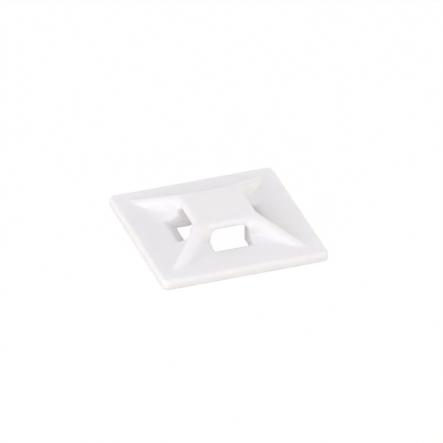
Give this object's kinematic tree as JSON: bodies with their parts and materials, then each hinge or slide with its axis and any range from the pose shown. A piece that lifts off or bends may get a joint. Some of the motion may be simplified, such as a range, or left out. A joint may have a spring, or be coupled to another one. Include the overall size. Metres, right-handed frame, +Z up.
{
  "type": "cable tie mount",
  "caption": "Square low cable tie mount, moulded in one piece: a ribbed bridge over two crossing tie passages on a flat base plate to be bonded down.",
  "frame": {"origin": "middle of the base plate's flat underside", "axes": "+Z up, out of the surface that the mount is bonded to; +X and +Y along the plate's sides, each along one tie passage"},
  "size_m": [0.028, 0.028, 0.005],
  "materials": {
    "white_nylon": "natural white moulded nylon, smooth satin"
  },
  "bodies": {
    "root": {"mount_body": "white_nylon"}
  },
  "joints": []
}
